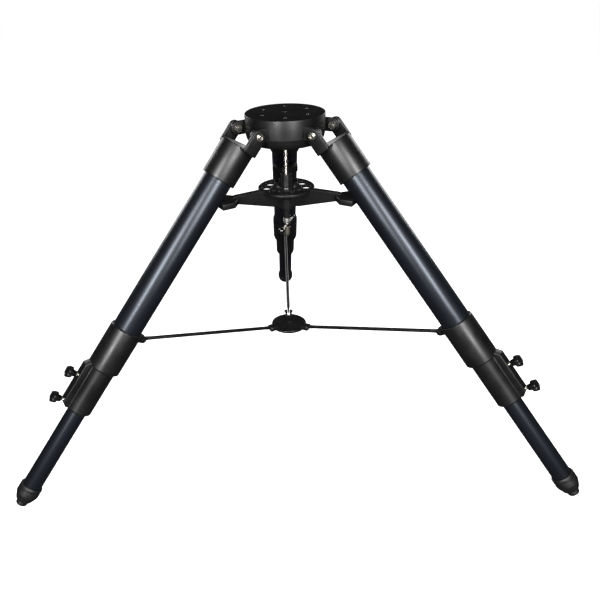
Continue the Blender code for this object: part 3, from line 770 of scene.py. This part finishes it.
leg_meshes = {
    "fork_casting": (mesh_of(fork()), CASTING, "powder_coated_casting", "leg_"),
    "upper_tube": (mesh_of(upper_tube()), TUBE, "blued_tube", "leg_"),
    "lock_casting": (mesh_of(lock()), CASTING, "powder_coated_casting", "leg_"),
    "strut_pin": (mesh_of(rivet()), STRUT, "painted_strut", "leg_"),
    "lower_tube": (mesh_of(lower_tube()), TUBE, "blued_tube", "lower_leg_"),
    "foot_boot": (mesh_of(boot()), RUBBER, "foot_rubber", "lower_leg_"),
    "foot_tip": (mesh_of(tip()), RUBBER, "foot_rubber", "lower_leg_"),
}
stud_mesh, knob_mesh = mesh_of(stud()), mesh_of(knob())
for side in SIDES:
    for kind, (mesh, look, slot, body) in leg_meshes.items():
        node = kind + "_" + side
        piece("fine_" + node, mesh, look, body + side, [node], LEG[side])
    for which, down in CLAMP_SCREWS.items():
        at = LEG[side] @ Matrix.Translation((0, 0, -down * MM))
        body = "knob_" + which + "_" + side
        node = which + "_" + side
        piece("fine_stud_" + node, stud_mesh, STEEL, body, ["lock_stud_" + node], at)
        piece("fine_knob_" + node, knob_mesh, KNOB, body, ["lock_knob_" + node], at)


# ---- struts --------------------------------------------------------------------------------
STRUT_OUTER = {s: Vector(joints["strut_swing_" + s]["pos_m"]) for s in SIDES}
HUB_DROP = 0.622
HUB_Z = HEAD_TOP - HUB_DROP
HUB_PIVOT_R = 0.063
STRUT_RUN = math.hypot(STRUT_OUTER["left"].x, STRUT_OUTER["left"].y) - HUB_PIVOT_R
STRUT_RISE = STRUT_OUTER["left"].z - HUB_Z
STRUT_LENGTH = math.hypot(STRUT_RUN, STRUT_RISE)
STRUT_SLOPE = math.atan2(STRUT_RISE, STRUT_RUN)


def strut_section(x, near, sides=40):
    """Ring of points at x; near is the distance from the closer pivot. Flat at the ends."""
    tip_half, flat_half, round_r = 5.5, 2.6, 5.0
    blend = min(max((near - 9) / 15, 0.0), 1.0)
    blend = blend * blend * (3 - 2 * blend)
    half_t = flat_half + (round_r - flat_half) * blend
    half_z = tip_half + (round_r - tip_half) * blend
    if near < 0:
        half_z = math.sqrt(max(tip_half**2 - near**2, 0.02))
    power = 2.0 / (0.32 + 0.68 * blend)
    row = []
    for k in range(sides):
        turn = math.tau * k / sides
        c, s = math.cos(turn), math.sin(turn)
        y = half_t * math.copysign(abs(c) ** (2 / power), c)
        z = half_z * math.copysign(abs(s) ** (2 / power), s)
        row.append((x * MM, y * MM, z * MM))
    return row


def strut():
    """A round tube whose ends are pressed flat and rounded."""
    length, tip_r = STRUT_LENGTH / MM, 5.5
    near_end = [-tip_r * math.cos(math.radians(90) * i / 8) for i in range(9)]
    near_end += [4, 8, 11, 13, 15, 17, 19, 21, 23, 26]
    stations = near_end + [length - x for x in reversed(near_end)]
    rows = [[(-tip_r * MM, 0, 0)]]
    rows += [strut_section(x, min(x, length - x)) for x in stations]
    rows.append([((length + tip_r) * MM, 0, 0)])
    body = from_bmesh(skin(rows, False))
    return cut(body, rod((0, -8, 0), (0, 8, 0), 3.3))


strut_mesh = mesh_of(strut())
for side in SIDES:
    turn = Matrix.Rotation(AZIMUTH[side] + math.pi, 4, "Z") @ Matrix.Rotation(STRUT_SLOPE, 4, "Y")
    at = Matrix.Translation(STRUT_OUTER[side]) @ turn
    node = "strut_" + side
    piece("fine_" + node, strut_mesh, STRUT, "strut_body_" + side, [node], at)


# ---- lower hub -----------------------------------------------------------------------------
def lower_hub():
    body = lathe(
        [
            (0, 0.2, 0),
            (20, 0.0, 0),
            (40, -1.0, 4),
            (52, -2.6, 1.6),
            (52, -10, 1.2),
            (0, -10, 0),
        ],
        steps=112,
        closed=False,
    )
    slots, lugs = [], []
    for side in SIDES:
        opening = block((42, -3.4, -20), (90, 3.4, 20), edge=0)
        slots.append(turned_about(opening, AZIMUTH[side]))
        for hand in (-1, 1):
            lug = slab(tongue(43, 63, 7, 7.5), 6.4, edge=0.9)
            moved(lug, Matrix.Translation((0, hand * 6.8 * MM, -2.2 * MM)) @ STAND_UP)
            lugs.append(turned_about(lug, AZIMUTH[side]))
    return union(cut(body, *slots), *lugs)


def hub_fixings():
    parts = []
    for side in SIDES:
        for hand in (-1, 1):
            cap = lathe(
                [(0, 13.2, 0), (3.4, 12.8, 0.9), (4.6, 11.2, 0.5), (4.6, 9.9, 0), (0, 9.9, 0)],
                32,
                closed=False,
            )
            along_y(cap, hand)
            moved(cap, Matrix.Translation((HUB_PIVOT_R, 0, 0)))
            parts.append(turned_about(cap, AZIMUTH[side]))
    screw = lathe([(0, 1.5, 0), (2.6, 1.2, 0.6), (3.4, 0.1, 0), (0, 0.0, 0)], 32, closed=False)
    cross = block((-2.2, -0.45, 0.7), (2.2, 0.45, 3), edge=0)
    other = block((-0.45, -2.2, 0.7), (0.45, 2.2, 3), edge=0)
    parts.append(cut(screw, cross, other))
    return together(*parts)


HUB = Matrix.Translation((0, 0, HUB_Z))
piece("fine_lower_hub", lower_hub(), CASTING, "spreader_hub",
      ["lower_hub"], HUB)
piece("hub_fixings", hub_fixings(), STRUT, "spreader_hub", matrix=HUB)


# ---- tray ----------------------------------------------------------------------------------
CRADLE_CLEARANCE = 0.6
EYEPIECE_HOLES = ((-38, 53), (0, 50), (38, 53))


def tray_arm():
    """Webbed arm along +X with the cradle's cross-bar at its end."""
    web = [
        (12, -208), (60, -197), (85, -190.5), (152, -190), (178, -196),
        (178, -209), (146, -215), (40, -245), (12, -248),
    ]
    plan = [(146, -7), (172, -37), (208, -37), (208, 37), (172, 37), (146, 7)]
    arm = moved(slab(web, 14, edge=1.6), STAND_UP)
    bar = moved(slab(plan, 16, edge=2.0), Matrix.Translation((0, 0, -202 * MM)))
    return union(arm, bar)


def leg_clearance(side):
    """The upper tube's room, and all beyond it, in the head's frame."""
    column = rod((0, 0, -330), (0, 0, -80), UPPER_TUBE_R + CRADLE_CLEARANCE, steps=96)
    beyond = block((-22, -100, -400), (100, 100, 0), edge=0)
    to_leg = (
        Matrix.Rotation(AZIMUTH[side], 4, "Z")
        @ Matrix.Translation((PIVOT_OUT * MM, 0, -PIVOT_DROP * MM))
        @ Matrix.Rotation(-SPLAY, 4, "Y")
    )
    return moved(union(column, beyond), to_leg)


def eyepiece_hole(radius):
    hole = lathe(
        [(0, -190, 0), (14, -190, 0), (13.3, -196.4, 0), (12.5, -197.2, 0),
         (12.5, -202.0, 0), (13.3, -203.4, 0), (13.3, -209.5, 0), (0, -209.5, 0)],
        64,
        closed=False,
    )
    return moved(hole, Matrix.Translation((radius * MM, 0, 0)))


def tray():
    body = lathe(
        [
            (0, -205, 0),
            (19.5, -205, 0.6),
            (20.5, -201, 2.0),
            (28, -196, 1.5),
            (76, -196, 1.4),
            (76, -203, 1.4),
            (33, -203, 1.5),
            (33, -208, 3.0),
            (24, -216, 5.0),
            (20, -228, 3.0),
            (20, -256, 1.6),
            (0, -256, 0),
        ],
        steps=144,
        closed=False,
    )
    body = union(body, *[turned_about(tray_arm(), AZIMUTH[side]) for side in SIDES])
    cuts = [rod((0, 0, -300), (0, 0, -150), ROD_HOLE_R, steps=48)]
    for side in SIDES:
        cuts.append(leg_clearance(side))
        for offset, radius in EYEPIECE_HOLES:
            turn = AZIMUTH[side] + math.radians(60 + offset)
            cuts.append(turned_about(eyepiece_hole(radius), turn))
    return cut(body, *cuts)


piece("fine_tray_spreader", tray(), CASTING, "tray",
      ["tray_spreader"], HEAD)


# ---- centre rod and what is on it ----------------------------------------------------------
def spacer():
    return lathe(
        [
            (14, -160, 1.0),
            (14, -197, 3.0),
            (16.5, -201.5, 1.0),
            (16.5, -204.7, 0.6),
            (5.4, -204.7, 0),
            (5.4, -160, 0.5),
        ],
        steps=80,
    )


def collar():
    def flutes(turn, radius, z):
        if radius < 0.0075 or not -0.284 < z < -0.2595:
            return radius
        return radius - 0.0005 * (0.5 + 0.5 * math.cos(18 * turn))

    corners = [(8.5, -256.3, 0.6), (8.5, -259, 0)]
    corners += [(8.5, -260 - i * 0.5, 0) for i in range(48)]
    corners += [(8.5, -285, 0), (8.5, -286, 0.5), (5.4, -286, 0), (5.4, -256.3, 0)]
    return lathe(corners, steps=144, lobes=flutes)


def ring():
    return lathe(
        [(9.8, -286.3, 0.8), (9.8, -290.6, 0.3), (9.2, -291.2, 0.2), (9.2, -292.4, 0.2),
         (9.8, -293, 0.3), (9.8, -297.5, 0.8), (5.4, -297.5, 0), (5.4, -286.3, 0)],
        steps=80,
    )


BAR_TURN = math.radians(72.0)
ALONG = Vector((-math.cos(BAR_TURN), -math.sin(BAR_TURN), 0.0))
BAR_AT = Vector((0, 0, -304.5))
BAR_R, BAR_HALF = 2.5, 46
BAR_HOLE_R = 2.8
BALL_R = 9
BALL_REACH = BAR_HALF + 0.3 + BALL_R * 0.45


def bar_hole():
    return rod(BAR_AT - ALONG * 20, BAR_AT + ALONG * 20, BAR_HOLE_R)


def boss():
    """Glossy ball with flat ends round the rod, drilled across for the bar."""
    high, low = -297.8, -311.2
    first = math.asin((high - BAR_AT.z) / BALL_R)
    last = math.asin((low - BAR_AT.z) / BALL_R)
    corners = [(5.3, low, 0), (5.3, high, 0)]
    for i in range(25):
        rise = first + (last - first) * i / 24
        corners.append((BALL_R * math.cos(rise), BAR_AT.z + BALL_R * math.sin(rise), 0))
    return cut(lathe(corners, steps=96), bar_hole())


def nut():
    return lathe(
        [
            (5.3, -311.5, 0.3),
            (7.4, -311.5, 0.4),
            (8.2, -312.7, 0.4),
            (8.2, -327, 1.5),
            (7.2, -334, 1.0),
            (6.0, -338, 0.6),
            (5.3, -338, 0.2),
        ],
        steps=80,
    )


def centre_rod():
    body = threaded(ROD_R, 1.5, -334, -2, steps=24, rows_per_turn=5, depth=0.2)
    return cut(body, bar_hole())


def bar():
    return rod(BAR_AT - ALONG * BAR_HALF, BAR_AT + ALONG * BAR_HALF, BAR_R, steps=40, edge=0.4)


def ball(hand):
    work = bmesh.new()
    bmesh.ops.create_uvsphere(work, u_segments=64, v_segments=40, radius=BALL_R * MM)
    sphere = from_bmesh(work)
    centre = BAR_AT + ALONG * hand * BALL_REACH
    moved(sphere, Matrix.Translation(centre * MM))
    inner = centre - ALONG * hand * 18
    outer = centre - ALONG * hand * 4.05
    return cut(sphere, rod(inner, outer, BAR_HOLE_R, steps=40))


def ferrule(hand):
    centre = BAR_AT + ALONG * hand * BALL_REACH
    start = centre - ALONG * hand * 11.8
    end = centre - ALONG * hand * 8.2
    outer = rod(start, end, 4.0, steps=40, edge=0.5)
    return cut(outer, rod(start - ALONG * hand * 3, end + ALONG * hand * 3, 2.55, steps=40))


piece("fine_rod_spacer", spacer(), SLEEVE, "tray", ["rod_spacer"], HEAD)
piece("fine_tension_collar", collar(), SLEEVE, "tray", ["tension_collar"], HEAD)
piece("fine_thrust_ring", ring(), RING_STEEL, "tray", ["thrust_ring"], HEAD)
piece("fine_centre_rod", centre_rod(), STEEL, "rod_handle", ["centre_rod"], HEAD)
piece("fine_handle_boss", boss(), GLOSS, "rod_handle", ["handle_boss"], HEAD)
piece("fine_handle_nut", nut(), ZINC, "rod_handle", ["handle_nut"], HEAD)
piece("fine_tommy_bar", bar(), STEEL, "rod_handle", ["tommy_bar"], HEAD)
for label, hand in (("front", 1), ("back", -1)):
    node = "bar_ball_" + label
    piece("fine_" + node, ball(hand), GLOSS, "rod_handle", [node], HEAD)
    piece("ferrule_" + label, ferrule(hand), RING_STEEL, "rod_handle", matrix=HEAD)

# ---- floor, light and camera ---------------------------------------------------------------
FLOOR_HALF = 12.0


def floor_paper():
    """White to the camera with soft shadows; dark to every other ray, so black parts stay black."""
    material = bpy.data.materials.new("floor_white")
    material.use_nodes = True
    tree = material.node_tree
    tree.nodes.remove(tree.nodes["Principled BSDF"])
    glow = tree.nodes.new("ShaderNodeEmission")
    glow.inputs["Strength"].default_value = 0.97
    matt = tree.nodes.new("ShaderNodeBsdfDiffuse")
    matt.inputs["Color"].default_value = (0.9, 0.9, 0.9, 1.0)
    seen = tree.nodes.new("ShaderNodeAddShader")
    dark = tree.nodes.new("ShaderNodeBsdfDiffuse")
    dark.inputs["Color"].default_value = (0.04, 0.04, 0.045, 1.0)
    ray_kind = tree.nodes.new("ShaderNodeLightPath")
    pick = tree.nodes.new("ShaderNodeMixShader")
    tree.links.new(glow.outputs[0], seen.inputs[0])
    tree.links.new(matt.outputs[0], seen.inputs[1])
    tree.links.new(ray_kind.outputs["Is Camera Ray"], pick.inputs["Fac"])
    tree.links.new(dark.outputs[0], pick.inputs[1])
    tree.links.new(seen.outputs[0], pick.inputs[2])
    tree.links.new(pick.outputs[0], tree.nodes["Material Output"].inputs["Surface"])
    return material


def studio_floor():
    work = bmesh.new()
    bmesh.ops.create_grid(work, x_segments=1, y_segments=1, size=FLOOR_HALF)
    mesh = bpy.data.meshes.new("floor")
    work.to_mesh(mesh)
    work.free()
    mesh.materials.append(floor_paper())
    made = bpy.data.objects.new("floor", mesh)
    bpy.context.scene.collection.objects.link(made)
    return made


floor = studio_floor()

# The room is white to the camera and nearly dark to every other ray.
world = bpy.data.worlds.new("studio")
world.use_nodes = True
world_tree = world.node_tree
room = world_tree.nodes["Background"]
room.inputs["Color"].default_value = (0.92, 0.95, 1.0, 1.0)
room.inputs["Strength"].default_value = 0.02
paper = world_tree.nodes.new("ShaderNodeBackground")
paper.inputs["Color"].default_value = (1.0, 1.0, 1.0, 1.0)
paper.inputs["Strength"].default_value = 1.0
ray = world_tree.nodes.new("ShaderNodeLightPath")
choose = world_tree.nodes.new("ShaderNodeMixShader")
world_tree.links.new(ray.outputs["Is Camera Ray"], choose.inputs["Fac"])
world_tree.links.new(room.outputs["Background"], choose.inputs[1])
world_tree.links.new(paper.outputs["Background"], choose.inputs[2])
world_tree.links.new(choose.outputs["Shader"], world_tree.nodes["World Output"].inputs["Surface"])
bpy.context.scene.world = world


# name: place, aim, width, height, power in watts
SOFTBOXES = {
    "left_box": ((-1.2, -2.9, 1.85), (0, 0, 0.6), 0.5, 2.1, 150.0),
    "right_box": ((1.1, -2.9, 1.85), (0, 0, 0.6), 0.5, 2.1, 150.0),
    "back_left_box": ((-2.2, 2.4, 1.3), (0, 0, 0.5), 1.4, 1.4, 30.0),
    "back_right_box": ((2.2, 2.4, 1.3), (0, 0, 0.5), 1.4, 1.4, 30.0),
    "top_box": ((0.0, 0.4, 3.2), (0, 0, 0.5), 2.0, 1.4, 2.0),
}


def softbox(name, at, aim, width, height, power):
    data = bpy.data.lights.new(name, "AREA")
    data.shape = "RECTANGLE"
    data.size, data.size_y = width, height
    data.energy = power
    lamp = bpy.data.objects.new(name, data)
    bpy.context.scene.collection.objects.link(lamp)
    lamp.location = at
    lamp.rotation_euler = (Vector(aim) - Vector(at)).to_track_quat("-Z", "Y").to_euler()
    return lamp


for box_name, settings in SOFTBOXES.items():
    softbox(box_name, *settings)

camera_data = bpy.data.cameras.new("camera")
camera = bpy.data.objects.new("camera", camera_data)
bpy.context.scene.collection.objects.link(camera)
bpy.context.scene.camera = camera

CAMERA_AT = Vector((-0.0224, -1.6092, 1.2738))
CAMERA_YAW = math.radians(-1.618)
CAMERA_PITCH = math.radians(29.441)
CAMERA_ROLL = math.radians(-2.324)
forward = Vector(
    (
        math.sin(CAMERA_YAW) * math.cos(CAMERA_PITCH),
        math.cos(CAMERA_YAW) * math.cos(CAMERA_PITCH),
        -math.sin(CAMERA_PITCH),
    )
)
level_right = Vector((math.cos(CAMERA_YAW), -math.sin(CAMERA_YAW), 0.0))
level_up = level_right.cross(forward)
right = level_right * math.cos(CAMERA_ROLL) + level_up * math.sin(CAMERA_ROLL)
up = -level_right * math.sin(CAMERA_ROLL) + level_up * math.cos(CAMERA_ROLL)
camera.matrix_world = Matrix(
    (
        (right.x, up.x, -forward.x, CAMERA_AT.x),
        (right.y, up.y, -forward.y, CAMERA_AT.y),
        (right.z, up.z, -forward.z, CAMERA_AT.z),
        (0, 0, 0, 1),
    )
)
camera_data.sensor_width = 36.0
camera_data.lens = 37.25
camera_data.shift_x = 0.057
camera_data.shift_y = 0.005
camera_data.clip_start = 0.05
camera_data.clip_end = 60.0

bpy.context.scene.view_settings.view_transform = "Standard"
bpy.data.collections.remove(workshop)
